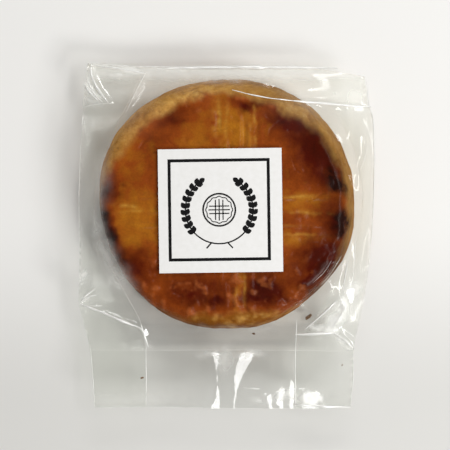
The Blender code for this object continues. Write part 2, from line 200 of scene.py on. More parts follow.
cookieLook = {
    "width": 64.0, "depth": 62.4, "height": 13.4, "dome": 0.6,
    "baseRound": 1.0, "sideLean": 1.3, "shoulderIn": 3.2, "shoulderDrop": 3.4,
    "topShift": (-1.0, -0.6),
    "waves": ((1, 0.45, 107.0), (3, 0.37, 22.0), (4, 0.28, 59.0)),
    # where the side swells: angle and half width in degrees, how far
    "swells": ((-20.0, 15.0, 0.5), (-70.0, 17.0, 0.85), (-50.0, 40.0, 0.2)),
    "baseLift": 0.1,
    "around": 384, "rings": 156,
    # the egg wash stops short of the edge: its radius at each angle, in degrees from +X
    "glazeMiddle": (-0.3, -0.3),
    "glazeEdge": (
        (0, 28.8), (30, 28.2), (45, 26.9), (60, 26.3), (75, 26.4), (88, 27.1), (102, 27.2), (115, 26.3),
        (145, 27.3), (160, 28.8), (170, 30.2), (182, 31.8), (195, 32.4), (215, 31.4), (235, 30.6),
        (248, 29.9), (258, 27.4), (270, 26.3), (285, 27.3), (297, 29.4), (305, 31.0), (320, 31.6),
        (333, 30.6), (345, 29.5),
    ),
    # fork marks at the top: lines along Y at these X, and along X at these Y
    "linesAlongY": (-2.6, 0.75, 3.9, 6.8), "linesAlongX": (1.4, -2.0, -5.4, -9.0),
    "forkReach": 27.6, "forkDepth": 0.25, "forkWidth": 0.62, "forkWander": 0.35,
    "burrAt": 1.15, "burrWidth": 0.45,
    # noise layers: height, size, number that picks the pattern
    "ragged": ((1.1, 3.2, 11), (0.4, 1.1, 12)),
    "sand": ((0.12, 2.1, 21), (0.04, 0.9, 22), (0.02, 0.5, 23)),
    "mottle": ((0.26, 6.0, 41), (0.34, 2.4, 42), (0.16, 1.1, 43)),
    "broken": ((0.75, 2.2, 50), (0.45, 0.9, 51)),
    # how far noise shifts the patches and the thin streaks, and its two patterns, for x and y
    "patchShift": 1.5, "streakShift": 0.35,
    "wobbles": (((1.0, 4.5, 44), (0.5, 1.8, 45)), ((1.0, 4.5, 46), (0.5, 1.8, 47))),
    "pitDepth": 0.34, "crackWidth": 0.035, "crackDepth": 0.25, "blisterRise": 0.7, "glazeRidge": 0.07,
    # places on the top: x, y, length, width, turn in degrees, strength
    "burns": (
        (26.4, 5.4, 3.8, 2.7, -64, 1.5), (24.6, 11.0, 6.0, 2.4, -58, 0.7), (27.6, -5.0, 4.4, 2.8, 90, 1.5),
        (27.4, 1.0, 4.0, 1.7, 90, 0.75), (20.2, 16.8, 5.6, 2.2, -40, 0.5), (26.4, -11.2, 3.8, 1.8, 78, 0.6),
        (24.0, -16.2, 4.6, 2.2, 46, 0.8), (20.0, -20.2, 3.8, 2.0, 38, 0.5),
        (-28.8, 4.1, 2.8, 1.8, 85, 0.85), (-30.4, -5.2, 5.4, 2.0, 101, 0.95),
        (-28.3, -8.8, 2.8, 2.0, 112, 1.15), (-25.4, -13.6, 4.0, 2.0, 122, 0.8),
        (-30.4, -2.6, 1.6, 1.6, 98, 1.2), (26.6, -14.6, 6.4, 1.8, 62, 0.85),
        (20.6, -21.8, 5.0, 1.5, 42, 0.8), (12.8, 20.4, 3.4, 1.4, -20, 0.4),
        (-13.8, 21.2, 2.4, 1.2, 30, 0.3), (9.4, -23.2, 3.4, 1.4, 0, 0.5), (-7.0, -24.0, 4.0, 1.2, 0, 0.35),
        (23.4, -7.0, 2.2, 1.2, 20, 0.35), (21.6, 13.2, 5.0, 3.0, -52, 0.5), (24.4, 1.0, 5.0, 3.0, 90, 0.35),
        (23.6, -13.0, 5.0, 3.6, 60, 0.45), (8.8, -21.6, 4.2, 3.2, 0, 0.45), (-2.8, -24.4, 2.6, 1.4, 0, 0.4),
    ),
    "reds": (
        (16.4, 18.6, 9.0, 5.0, -37, 1.05), (21.8, 12.0, 8.4, 6.0, -56, 1.25),
        (22.6, -13.6, 7.8, 6.2, 56, 1.15), (25.6, -4.4, 4.6, 4.0, 90, 1.1), (9.2, -21.8, 5.2, 4.4, 0, 1.35),
        (-8.0, -21.8, 9.4, 4.8, 0, 0.9), (-2.8, -24.2, 3.2, 2.2, 0, 1.2),
        (-22.0, -15.4, 6.4, 4.0, 132, 0.9), (-13.4, 20.4, 4.4, 2.4, 32, 0.75),
        (2.6, 23.4, 3.8, 1.9, 0, 0.6), (-28.2, 3.8, 4.0, 2.8, 90, 0.85), (-28.6, -7.0, 6.4, 2.6, 106, 1.0),
        (-23.0, 7.0, 5.0, 6.0, 0, 0.12), (18.0, -17.0, 6.0, 4.0, 30, 0.66),
        (19.8, -18.8, 3.4, 2.6, 42, 1.25), (-18.5, 14.5, 6.0, 3.6, 48, 0.4), (16.0, -4.4, 3.0, 1.4, 0, 0.4),
        (17.4, 7.6, 4.6, 3.4, 0, 0.45), (17.2, 13.8, 6.4, 3.6, -52, 0.8), (4.8, 24.0, 4.8, 1.9, -8, 1.1),
    ),
    "golds": (
        (1.0, 18.0, 7.0, 6.0, 90, 0.85), (-8.2, 15.6, 5.0, 3.6, 0, 0.5), (-22.0, -4.4, 6.6, 7.0, 0, 0.8),
        (17.2, -0.4, 6.0, 3.4, 0, 0.5), (16.4, -8.8, 4.8, 2.2, 0, 0.6), (2.9, -21.0, 6.0, 1.5, 90, 0.5),
        (-15.8, -12.0, 3.6, 3.6, 0, 0.3), (-22.4, 12.0, 6.0, 4.6, 50, 0.35),
        (-14.0, 18.0, 4.0, 2.6, 30, 0.2),
    ),
    "streaks": (
        (-3.2, 19.4, 3.4, 0.9, 92, 0.45), (5.2, 18.2, 4.0, 1.0, 90, 0.3), (19.2, 1.3, 5.6, 0.8, 0, 0.2),
        (18.4, -8.4, 4.6, 0.9, 4, 0.2), (-2.2, 20.2, 4.6, 0.55, 93, 0.9), (-0.5, 19.0, 5.6, 0.45, 88, 0.6),
        (6.5, 19.0, 4.2, 0.4, 91, 0.8), (3.4, 17.0, 3.0, 0.4, 90, 0.35), (-24.4, -0.9, 2.6, 0.4, -8, 0.9),
        (-22.5, -2.2, 4.0, 0.35, 3, 0.5), (17.0, 1.5, 4.4, 0.4, 2, 0.65), (19.0, -2.5, 4.6, 0.4, -2, 0.55),
        (17.6, -7.7, 4.0, 0.45, 1, 0.6), (2.0, -22.4, 3.6, 0.35, 89, 0.5), (4.2, -20.6, 4.4, 0.35, 91, 0.6),
        (15.0, -5.6, 3.0, 0.35, 0, 0.35),
    ),
    # lumps where dough was pushed up: x, y, radius, height
    "lumps": (
        (14.3, -23.0, 2.2, 0.35), (-19.3, -19.4, 2.4, 0.4), (-13.6, -21.6, 1.8, 0.3),
        (-6.6, 24.6, 2.0, 0.3), (-28.6, -0.2, 1.4, 0.3), (5.0, -25.6, 2.4, 0.25), (22.0, -9.5, 1.6, 0.25),
        (-8.0, -23.8, 1.4, 0.28), (11.6, -24.6, 1.6, 0.3), (1.6, -25.0, 1.5, 0.3),
    ),
}


def waveSum(angle, waves):
    return sum(height * np.cos(count * (angle - math.radians(crest))) for count, height, crest in waves)


def outlineRadius(angle):
    halfX, halfY = cookieLook["width"] / 2, cookieLook["depth"] / 2
    ellipse = halfX * halfY / np.hypot(halfY * np.cos(angle), halfX * np.sin(angle))
    turn = np.degrees(angle)
    swell = sum(out * np.exp(-(((turn - middle) / half) ** 2)) for middle, half, out in cookieLook["swells"])
    return ellipse + waveSum(angle, cookieLook["waves"]) + swell


def cookieTop(x, y):
    # height of the cookie's top at a place, without its crumb; nothing outside its outline
    look = cookieLook
    fromX, fromY = x - look["topShift"][0], y - look["topShift"][1]
    edge = outlineRadius(np.arctan2(fromY, fromX)) - look["sideLean"] - look["shoulderIn"]
    distance = np.hypot(fromX, fromY)
    inside = look["height"] + look["dome"] * (1 - (distance / edge) ** 2)
    across = np.clip((distance - edge) / look["shoulderIn"], 0, 1)
    shoulder = look["height"] - look["shoulderDrop"] * (1 - np.sqrt(1 - across**2))
    outside = np.hypot(x, y) > outlineRadius(np.arctan2(y, x))
    return np.where(outside, 0, np.where(distance <= edge, inside, shoulder))


def cookieRings(look):
    # share of the radius, inset and height of each ring, from under the cookie to its crown
    rings = [(step / 9, look["baseRound"], look["baseLift"]) for step in range(1, 10)]
    for step in range(1, 7):
        turn = step * math.pi / 12
        inset = look["baseRound"] * (1 - math.sin(turn))
        rings.append((1, inset, look["baseLift"] + look["baseRound"] * (1 - math.cos(turn))))
    low, high = look["baseLift"] + look["baseRound"], look["height"] - look["shoulderDrop"]
    for step in range(1, 23):
        rings.append((1, look["sideLean"] * (step / 22) ** 1.6, low + (high - low) * step / 22))
    for step in range(1, 19):
        turn = step * math.pi / 36
        inset = look["sideLean"] + look["shoulderIn"] * (1 - math.cos(turn))
        rings.append((1, inset, high + look["shoulderDrop"] * math.sin(turn)))
    left = look["rings"] - 1 - len(rings)
    for step in range(1, left + 1):
        share = 1 - step / (left + 1)
        crown = look["height"] + look["dome"] * (1 - share**2)
        rings.append((share, look["sideLean"] + look["shoulderIn"], crown))
    return np.array(rings)


def patchField(x, y, patches):
    field = np.zeros(np.shape(x))
    for middleX, middleY, length, width, turn, strength in patches:
        turn = math.radians(turn)
        along = (x - middleX) * math.cos(turn) + (y - middleY) * math.sin(turn)
        across = (y - middleY) * math.cos(turn) - (x - middleX) * math.sin(turn)
        field = np.maximum(field, strength * np.exp(-((along / length) ** 2 + (across / width) ** 2)))
    return field


def forkField(points, look):
    # depth of the tines' grooves and of the dough pushed up beside them
    x, y = points[:, 0], points[:, 1]
    wander = noiseField(points, 9.0, 2)
    skip = noiseField(points, 5.0, 5)
    groove, burr = np.zeros(len(x)), np.zeros(len(x))
    for across, run, lines, middle in ((x, y, look["linesAlongY"], -0.6), (y, x, look["linesAlongX"], -1.0)):
        fade = 1 - smoothStep(look["forkReach"] - 4, look["forkReach"] + 1, np.abs(run - middle))
        for number, line in enumerate(lines):
            away = np.abs(across - line - look["forkWander"] * wander)
            pressed = fade * np.clip(0.6 + 1.3 * skip * (1 if number % 2 else -1), 0.1, 1.1)
            groove = np.maximum(groove, pressed * np.exp(-(away / look["forkWidth"]) ** 2))
            burr = np.maximum(burr, pressed * np.exp(-((away - look["burrAt"]) / look["burrWidth"]) ** 2))
    return groove, burr


def buildCookie(look):
    bpy.ops.object.select_all(action="DESELECT")
    bpy.ops.mesh.primitive_uv_sphere_add(segments=look["around"], ring_count=look["rings"], radius=1)
    cookie = bpy.context.object
    cookie.name = cookie.data.name = "galetteBaked"
    ball = meshPoints(cookie.data) * mm
    # each latitude of the ball becomes one ring of the cookie
    latitude = np.rint(np.arccos(np.clip(-ball[:, 2], -1, 1)) / math.pi * look["rings"]).astype(int)
    angle = np.arctan2(ball[:, 1], ball[:, 0])
    rings = cookieRings(look)
    crown = look["height"] + look["dome"]
    poles = np.array([(0, look["baseRound"], look["baseLift"]), (0, 0, crown)])
    share, inset, height = np.vstack([poles[:1], rings, poles[1:]])[latitude].T
    radius = share * (outlineRadius(angle) - inset)
    lift = height / look["height"]
    points = np.column_stack((
        radius * np.cos(angle) + look["topShift"][0] * lift,
        radius * np.sin(angle) + look["topShift"][1] * lift,
        height,
    ))
    putPoints(cookie.data, points)
    normals = vertexNormals(cookie.data)

    x, y = points[:, 0], points[:, 1]
    upward = smoothStep(0.04, 0.34, normals[:, 2])
    fromX, fromY = x - look["glazeMiddle"][0], y - look["glazeMiddle"][1]
    glazeEdge = np.interp(np.degrees(np.arctan2(fromY, fromX)), *zip(*look["glazeEdge"]), period=360)
    fromEdge = glazeEdge + noiseStack(points, look["ragged"]) - np.hypot(fromX, fromY)
    glaze = smoothStep(-1.4, 1.1, fromEdge) * upward
    groove, burr = forkField(points, look)
    wobble = np.stack([noiseStack(points, layers) for layers in look["wobbles"]])
    shifted = points[:, :2].T + look["patchShift"] * wobble
    burn, red, gold = (patchField(*shifted, look[name]) for name in ("burns", "reds", "golds"))
    streak = patchField(*(points[:, :2].T + look["streakShift"] * wobble), look["streaks"])
    lumps = sum(
        high * np.exp(-((x - atX) ** 2 + (y - atY) ** 2) / size**2) for atX, atY, size, high in look["lumps"]
    )

    # the bare dough is sandy and open, the glazed top smooth with shallow pits
    coarse = 0.3 * noiseField(points, 4.0) + 0.25 * noiseField(points / 13.0 + np.array((7.0, 3.0, 1.0)), 1.0)
    sand = noiseStack(points, look["sand"])
    below = smoothStep(-20, -26, y)
    pits = np.clip(noiseField(points, 1.5, 31) - look["pitDepth"], 0, 1) * (1.0 - 0.4 * glaze + 0.5 * below)
    low = np.maximum(smoothStep(-8, -20, y), 0.5 * smoothStep(16, 24, y))
    blister = np.clip(noiseField(points, 2.2, 37) - 0.15, 0, 1) * low * glaze
    crack = np.exp(-(np.abs(noiseField(points, 5.5, 33)) / look["crackWidth"]) ** 2)
    crack *= smoothStep(0.0, 0.35, noiseField(points, 7.0, 34))
    top = smoothStep(0.5, 0.95, normals[:, 2])
    relief = coarse * 0.8 + sand * (1 - 0.68 * glaze) - pits * (1 - 0.5 * glaze)
    relief -= look["crackDepth"] * crack * top
    relief += top * look["forkDepth"] * (0.42 * burr - groove)
    relief += top * lumps * (0.6 + 1.2 * noiseField(points, 1.2, 35))
    relief += look["blisterRise"] * blister
    relief += look["glazeRidge"] * glaze * (1 - smoothStep(0.0, 1.6, np.abs(fromEdge - 0.4)))
    flat = (normals[:, 2] < -0.6) | (height < look["baseLift"] + 0.02)
    relief = np.where(flat, 0, relief)
    putPoints(cookie.data, points + normals * relief[:, None])

    mottle = noiseStack(points, look["mottle"])
    # the dough toasts towards the lower edge and to the left, unevenly where it broke open; the darkening to
    # the right is painted shade
    toastAndShade = smoothStep(6, -30, y + 0.35 * x) + 0.3 * smoothStep(14, 27, x) + 0.3 * smoothStep(-10, -26, x)
    toastAndShade += 0.5 * noiseField(points, 5.0, 49) + below * noiseStack(points, look["broken"])
    toastAndShade -= 0.18 * below * smoothStep(-5, 5, x) * smoothStep(20, 14, x)
    shares = {
        "glaze": glaze,
        "burn": burn * smoothStep(-3.0, -0.6, fromEdge),
        "red": red + mottle * 0.8 - 0.35 * gold,
        "golden": gold + mottle + 0.2 * groove * smoothStep(0.1, 0.6, gold) - 0.5 * red,
        "streak": streak * (0.6 + 1.1 * noiseField(points, 1.4, 48)),
        "toastAndShade": toastAndShade,
        # painted shade: the rim darker to the right and lighter to the left, for how the light falls on it
        "paintedRimShade": 0.1 + 0.3 * smoothStep(2, 24, x + 0.3 * y) - 0.1 * smoothStep(-2, -22, x),
        "blister": 0.75 * smoothStep(0.05, 0.45, blister + 0.25 * low * noiseField(points, 0.8, 38)),
        # painted shade in the pits and cracks
        "hollowShade": pits * 2 + crack,
    }
    for name, share in shares.items():
        # a burn may pass 1, so that it still covers where the specks thin it
        saveAttribute(cookie.data, name, np.clip(share, 0, 2 if name == "burn" else 1))
    cookie.data.shade_smooth()
    cookie.data.materials.append(bakedGalette())
    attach(cookie, "root")
    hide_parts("cookie")


galetteLook = {
    # rimDusk is the dark colour of the painted shade on the rim
    "sandyRim": "#c8944a", "rimShade": "#b4823c", "rimLight": "#d0a258", "rimDusk": "#5c4426",
    "toastedRim": "#8a500f", "eggBrown": "#904313", "eggRed": "#511204", "eggGold": "#b4721c",
    "eggPale": "#c8923c", "eggBlister": "#a4572c", "scorch": "#220b06",
    "grainSize": 0.45, "speckSize": 1.3, "grainDepth": 0.12, "specular": 0.07,
    # roughness, and strength of the grain's bumps: bare dough, glazed dough
    "rough": (0.85, 0.24), "bumpy": (0.34, 0.08),
}


def bakedGalette():
    # Butter dough baked brown: a dry sandy rim, and a top lacquered by egg wash that shines softly
    look = galetteLook
    material, tree, shader = newMaterial("baked_galette_egg_washed")
    grain = grainTexture(tree, look["grainSize"], 3.0)
    speck = grainTexture(tree, look["speckSize"], 4.0)
    glaze = readAttribute(tree, "glaze")
    stops = zip((0.3, 0.5, 0.7), ("rimShade", "sandyRim", "rimLight"))
    rim = ramp(tree, speck, [(place, hexColour(look[name])) for place, name in stops])
    # the toast mix is partly painted shade to the right; the second mix is painted shade, darker to the right
    # and lighter to the left
    for share, name in (("toastAndShade", "toastedRim"), ("paintedRimShade", "rimDusk")):
        rim = mixColour(tree, readAttribute(tree, share), rim, hexColour(look[name]))
    brown = hexColour(look["eggBrown"])
    layers = (("red", "eggRed"), ("golden", "eggGold"), ("streak", "eggPale"), ("blister", "eggBlister"))
    for share, name in layers:
        brown = mixColour(tree, readAttribute(tree, share), brown, hexColour(look[name]))
    colour = mixColour(tree, glaze, rim, brown)
    # the scorch breaks up into specks, and pits and cracks are given painted shade
    patchy = maths(tree, "ADD", speck, 0.35)
    scorched = maths(tree, "MULTIPLY", readAttribute(tree, "burn"), patchy, clamp=True)
    colour = mixColour(tree, scorched, colour, hexColour(look["scorch"]))
    fine = ramp(tree, grain, ((0.3, (0.80, 0.79, 0.78, 1)), (0.7, (1.15, 1.15, 1.15, 1))))
    colour = mixColour(tree, 0.6, colour, fine, "MULTIPLY")
    shade = maths(tree, "MULTIPLY", readAttribute(tree, "hollowShade"), 0.3)
    colour = mixColour(tree, shade, colour, hexColour(look["eggRed"]))
    rough, bumpy = (
        ramp(tree, glaze, [(place, (value, value, value, 1)) for place, value in enumerate(look[name])])
        for name in ("rough", "bumpy")
    )
    links = {"Strength": bumpy, "Distance": look["grainDepth"] * mm, "Height": grain}
    bump = addNode(tree, "ShaderNodeBump", links).outputs["Normal"]
    for output, name in ((colour, "Base Color"), (rough, "Roughness"), (bump, "Normal")):
        tree.links.new(output, shader.inputs[name])
    shader.inputs["Specular IOR Level"].default_value = look["specular"]
    return material


buildCookie(cookieLook)
print("cookie baked")


# Film bag: a tube of clear film with a tucked gusset down each side, welded at both ends

filmLook = {
    "topEdge": ((-34.6, 34.6), (-20.5, 33.8), (20.3, 33.7), (30.2, 32.0), (33.9, 31.2)),
    "tailEdge": ((-32.8, -50.3), (-10.0, -50.5), (30.2, -50.6)),
    "sealY": -36.3,
    # outline seen from above, as (y, x)
    "leftEdge": (
        (34.9, -34.6), (25.5, -35.5), (13.0, -36.1), (0.8, -36.5), (-11.6, -36.3), (-20.2, -36.5),
        (-23.9, -36.8), (-28.9, -35.8), (-32.6, -34.7), (-36.3, -34.1), (-41.3, -33.6), (-50.4, -32.8),
    ),
    "rightEdge": (
        (34.9, 33.7), (23.8, 34.3), (22.0, 35.6), (13.1, 35.9), (0.8, 35.7), (-7.9, 35.2), (-14.5, 34.7),
        (-21.5, 33.8), (-28.9, 32.5), (-33.4, 31.4), (-36.8, 31.0), (-43.7, 31.0), (-50.7, 30.2),
    ),
    # the gussets' inner folds, pushed out by the cookie, as (y, x)
    "leftFold": (
        (34.9, -20.5), (31.7, -21.7), (20.6, -26.9), (10.7, -31.3), (0.8, -33.2), (-6.6, -32.6),
        (-16.5, -28.6), (-28.9, -21.7), (-36.3, -20.2), (-50.4, -20.2),
    ),
    "rightFold": (
        (34.9, 20.0), (31.7, 20.9), (21.8, 27.4), (13.1, 31.4), (3.3, 33.6), (-6.6, 32.7), (-16.5, 29.0),
        (-26.4, 22.3), (-36.3, 16.9), (-50.7, 16.9),
    ),
    # the rectangle that the grid starts as: its left end and width
    "startX": -34.6, "startWide": 68.4,
    "weldY": 33.8, "midLevel": 6.9, "creaseSpread": 3.7, "weld": 0.12,
    # the tail rises from the seal on, and bends from side to side
    "tailReach": 14.0, "tailRise": 1.2, "waveHeight": 0.8, "waveLength": 46.0, "wavePhase": 0.6,
    # half the space between the tail's panels, with the gussets between them and without
    "gaps": (0.22, 0.1), "layerShare": 0.45,
    "clearance": 0.55, "columns": 138, "foldColumns": 12, "pouchRows": 130, "tailRows": 27,
    # crumple of the loose film: size of a facet, height, number that picks the pattern
    "facets": ((8.0, 0.5, 5), (3.8, 0.2, 8)), "tailFacets": ((13.0, 0.16, 3),),
    "bendFacets": ((3.4, 0.34, 21),), "backFacets": ((6.5, 0.56, 11),),
    # the tail's slope that mirrors the lamp on the right: at X 0, and its change per millimetre of X
    "mirrorSlope": (0.265, -0.002),
    # where it lies calm: x, y, length, width, turn in degrees, share
    "calm": ((-33.0, -6.0, 24.0, 6.0, 90, 0.75), (-30.0, 16.0, 8.0, 6.0, 60, 0.6)),
    # where air holds the film out: x, y, size, rise
    "puffs": ((27.0, -24.0, 6.0, 1.5), (-29.0, 14.0, 6.0, 0.8), (28.0, 18.0, 6.0, 0.6)),
    "film": {"hazeShare": 0.001, "edgeMirror": 0.98, "faceMirror": 0.03, "rough": 0.09},
    "clearTint": (0.995, 0.998, 0.99, 1), "warmTint": (1.0, 0.985, 0.94, 1), "haze": (0.96, 0.955, 0.91, 1),
    # painted shade on the film, darkening what is seen through it: x, y, half length, half width, share of
    # the light it takes
    "filmShade": (
        (0.0, -32.4, 24.0, 3.2, 0.17), (-14.0, -31.0, 12.0, 3.5, 0.08), (-1.6, -43.5, 17.0, 9.0, 0.09),
        (-27.0, -30.0, 8.0, 6.0, 0.08), (33.4, 2.0, 3.0, 24.0, 0.08), (-31.0, -12.0, 3.4, 12.0, 0.06),
        (-2.0, -34.4, 18.0, 0.9, 0.08), (-35.6, -13.5, 2.9, 9.0, 0.11), (-32.2, -19.0, 3.4, 3.8, 0.05),
    ),
    # film without its gloss, rubbed or greasy: x, y, length, width, turn, share
    "dull": (
        (34.6, 14.0, 12.0, 1.6, 90, 0.8), (34.2, -12.0, 12.0, 2.4, 90, 0.85),
        (26.0, 28.5, 8.0, 4.0, 0, 0.6), (0.0, 0.0, 24.0, 24.0, 0, 0.7), (-33.0, -16.0, 12.0, 6.0, 90, 0.8),
        (-22.2, 27.0, 5.4, 2.4, 62, 0.9), (-27.0, 31.3, 3.0, 1.6, 0, 0.8),
        (32.6, -15.4, 5.0, 1.6, 88, 0.92), (32.4, -26.4, 4.6, 2.3, 70, 0.95),
        (17.6, -24.4, 2.6, 1.5, 30, 1.0),
    ),
    # butter from the galette's shoulder takes its gloss too: radius, width, share
    "greasy": (27.6, 3.6, 1.0),
    # how much less the gussets and the back mirror, crumpled and seen through the front
    "innerDull": 0.8,
    # how far noise tears the edges of the whiter patches
    "tear": 0.9,
    # film warmed by the light off the galette: x, y, length, width, turn, share
    "warm": ((0.0, 32.0, 40.0, 5.0, 0, 1.0), (33.0, 8.0, 28.0, 5.0, 90, 1.0)),
    # whiter film, partly scuffed and crinkled, partly painted highlights and sheen where it catches the
    # lamps: x, y, length, width, turn, share
    "scuffAndPaintedLight": (
        (0.0, 32.2, 44.0, 2.2, 0, 0.62), (26.0, 27.0, 9.0, 5.0, 0, 0.26), (34.4, 10.0, 24.0, 1.8, 90, 0.1),
        (-24.0, 32.0, 12.0, 3.0, -8, 0.34), (31.0, -22.0, 8.0, 3.0, 80, 0.12),
        (24.0, -43.0, 9.0, 9.0, 0, 0.22), (-28.0, -48.6, 8.0, 1.8, 0, 0.16),
        (-27.0, 26.0, 7.0, 6.0, 0, 0.16), (-33.4, 27.6, 3.4, 1.3, -62, 0.6),
        (-34.5, 31.0, 2.8, 0.9, 85, 0.85), (-35.4, -17.4, 1.5, 0.9, 60, 0.6),
        (-34.8, -2.0, 24.0, 2.4, 90, 0.14), (28.0, -25.6, 2.4, 1.2, 66, 1.0),
        (26.6, -28.6, 3.4, 1.5, 60, 1.0), (25.5, -31.0, 1.8, 1.3, 20, 0.95),
        (22.2, -30.8, 2.2, 0.8, -14, 0.6), (30.6, -21.2, 2.2, 1.8, 40, 0.5),
        (28.6, -34.4, 2.4, 0.7, -36, 0.85), (30.0, -35.6, 1.4, 0.7, -20, 0.8),
        (-35.0, -23.2, 1.6, 0.7, 40, 0.5), (-23.8, 32.8, 3.8, 1.2, -14, 1.0),
        (-30.6, 34.0, 4.6, 0.7, -8, 0.7), (31.0, 25.6, 5.0, 6.0, 0, 0.3), (-1.0, -30.8, 15.0, 0.8, 0, 0.1),
        (-20.0, -48.4, 11.0, 1.6, 0, 0.14), (-3.4, -37.3, 4.0, 0.8, 0, 0.35),
        (5.4, -37.2, 4.0, 0.7, 0, 0.35), (14.0, -47.2, 3.0, 1.2, 12, 0.6), (20.6, -48.2, 3.2, 1.5, 0, 0.75),
        (8.0, -48.6, 2.0, 0.6, 0, 0.4),
        # painted light on the film past the galette's left edge, lifting the shade there
        (-32.0, -5.8, 6.0, 1.8, 99, 0.26), (-29.8, -12.4, 5.6, 2.0, 113, 0.34),
        (-26.9, -17.2, 4.6, 2.0, 128, 0.3), (-31.2, 5.6, 7.5, 2.0, 84, 0.2),
        (-13.0, 33.2, 11.0, 0.9, 0, 0.8), (-33.0, 25.2, 2.6, 1.8, 0, 0.4), (-0.4, -38.8, 2.0, 3.2, 0, 0.4),
    ),
}


def tailShare(y):
    # 0 at the seal, rising to 1 out in the tail
    return np.clip((filmLook["sealY"] - y) / filmLook["tailReach"], 0, 1)


def tailTurn(x):
    return 2 * math.pi * x / filmLook["waveLength"] + filmLook["wavePhase"]


def tailLevel(x, y):
    out = tailShare(y)
    wave = filmLook["waveHeight"] * np.sin(tailTurn(x))
    return filmLook["midLevel"] + out * (wave + filmLook["tailRise"] * out)


def edgeAt(points, y):
    ordered = sorted(points)
    return np.interp(y, [p[0] for p in ordered], [p[1] for p in ordered])


def softEdgeAt(points, y, reach=1.4):
    return sum(edgeAt(points, y + shift * reach) for shift in (-1, -0.5, 0, 0.5, 1)) / 5


def spreadAt(y):
    along = np.clip((y - filmLook["sealY"]) / (filmLook["weldY"] - filmLook["sealY"]), 0, 1)
    return filmLook["weld"] / 2 + filmLook["creaseSpread"] * np.sin(math.pi * along) ** 0.6


def filmGrid(look):
    # x and y of every film point, rows from the welded top to the open end of the tail
    across = np.linspace(0, 1, look["columns"] + 1)
    startX = look["startX"] + across * look["startWide"]
    topY, endY = (np.interp(startX, *zip(*look[name])) for name in ("topEdge", "tailEdge"))
    pouch, tail = look["sealY"] - topY, endY - look["sealY"]
    rows = [topY + pouch * step / look["pouchRows"] for step in range(look["pouchRows"] + 1)]
    rows += [look["sealY"] + tail * step / look["tailRows"] for step in range(1, look["tailRows"] + 1)]
    y = np.array(rows)
    left, right = softEdgeAt(look["leftEdge"], y), softEdgeAt(look["rightEdge"], y)
    return left + (right - left) * across, y


def pullTight(level, fixed, low, high, passes=2500):
    for _ in range(passes):
        mean = (level[:-2, 1:-1] + level[2:, 1:-1] + level[1:-1, :-2] + level[1:-1, 2:]) / 4
        inner = np.where(fixed[1:-1, 1:-1], level[1:-1, 1:-1], mean)
        level[1:-1, 1:-1] = np.clip(inner, low[1:-1, 1:-1], high[1:-1, 1:-1])
    return level


# Creases that stand up in the front film: corners, height, half width, thickness of the bright fold edge
creaseLook = (
    # top left ear
    (((-33.8, 34.1), (-27.0, 33.2), (-20.3, 31.9)), 1.0, 1.2, 0.24),
    (((-33.8, 34.1), (-33.7, 31.2), (-31.8, 27.6), (-29.3, 24.6)), 1.2, 1.2, 0.34),
    (((-34.6, 30.4), (-33.2, 27.0), (-30.8, 24.8)), 0.8, 0.9, 0.26),
    (((-35.3, 29.2), (-34.2, 27.2), (-32.0, 25.3)), 0.9, 1.1, 0.3),
    (((-35.9, 23.2), (-33.0, 24.2), (-28.4, 24.4)), 0.9, 1.0, 0.1),
    (((-20.3, 31.9), (-22.6, 27.0), (-24.8, 22.1)), 0.7, 1.6, 0.1),
    # fold across the top right
    (((1.0, 27.4), (5.4, 26.2), (10.3, 25.3), (18.9, 24.6)), 0.45, 0.9, 0.2),
    (((16.0, 24.8), (27.0, 24.0), (35.2, 23.6)), 0.8, 1.1, 0.44),
    # right side
    (((33.4, 16.6), (33.9, 12.0), (32.3, 8.0), (31.9, 3.6)), 0.6, 1.0, 0.06),
    (((29.0, 24.0), (30.0, 20.0), (29.6, 15.6)), 0.5, 1.4, 0.0),
    (((29.6, -12.5), (28.7, -17.0), (28.0, -21.4)), 0.5, 1.0, 0.15),
    (((31.2, -9.0), (30.8, -15.0), (30.4, -20.0)), 0.5, 1.0, 0.12),
    # bottom right ear
    (((18.9, -31.0), (22.6, -27.6), (26.5, -23.8)), 1.1, 1.1, 0.36),
    (((16.5, -32.3), (21.0, -32.2), (26.1, -31.9)), 0.8, 1.1, 0.36),
    (((26.1, -31.9), (28.6, -33.4), (30.8, -35.8)), 0.8, 1.0, 0.3),
    (((27.0, -22.0), (28.6, -26.0), (25.4, -31.0)), 1.3, 1.7, 0.08),
    (((27.6, -31.4), (30.4, -33.8), (31.2, -35.6)), 0.9, 1.0, 0.16),
    # fine wrinkles where the film leaves the galette, low on the right
    (((27.6, -13.0), (25.2, -17.0), (22.6, -20.0)), 0.25, 0.5, 0.06),
    (((25.2, -14.0), (23.4, -17.0), (20.6, -19.4)), 0.25, 0.5, 0.04),
    # bottom left ear
    (((-36.1, -24.8), (-30.5, -26.9), (-23.0, -30.1), (-20.9, -30.7), (-19.9, -34.1)), 1.3, 1.4, 0.36),
    (((-36.2, -24.3), (-35.0, -23.0), (-32.2, -22.6)), 0.8, 0.8, 0.26),
    (((-36.0, -23.8), (-34.4, -22.2), (-32.4, -21.0)), 0.7, 0.8, 0.22),
    (((-36.1, -24.9), (-33.0, -25.4), (-30.9, -25.2)), 0.7, 0.8, 0.2),
    (((-28.9, -18.6), (-28.8, -21.2)), 0.3, 0.6, 0.1),
    (((-28.0, -33.5), (-25.0, -30.8), (-23.0, -29.6)), 0.6, 1.0, 0.0),
    (((4.0, -45.5), (7.8, -45.8)), 0.3, 0.8, 0.2),
)

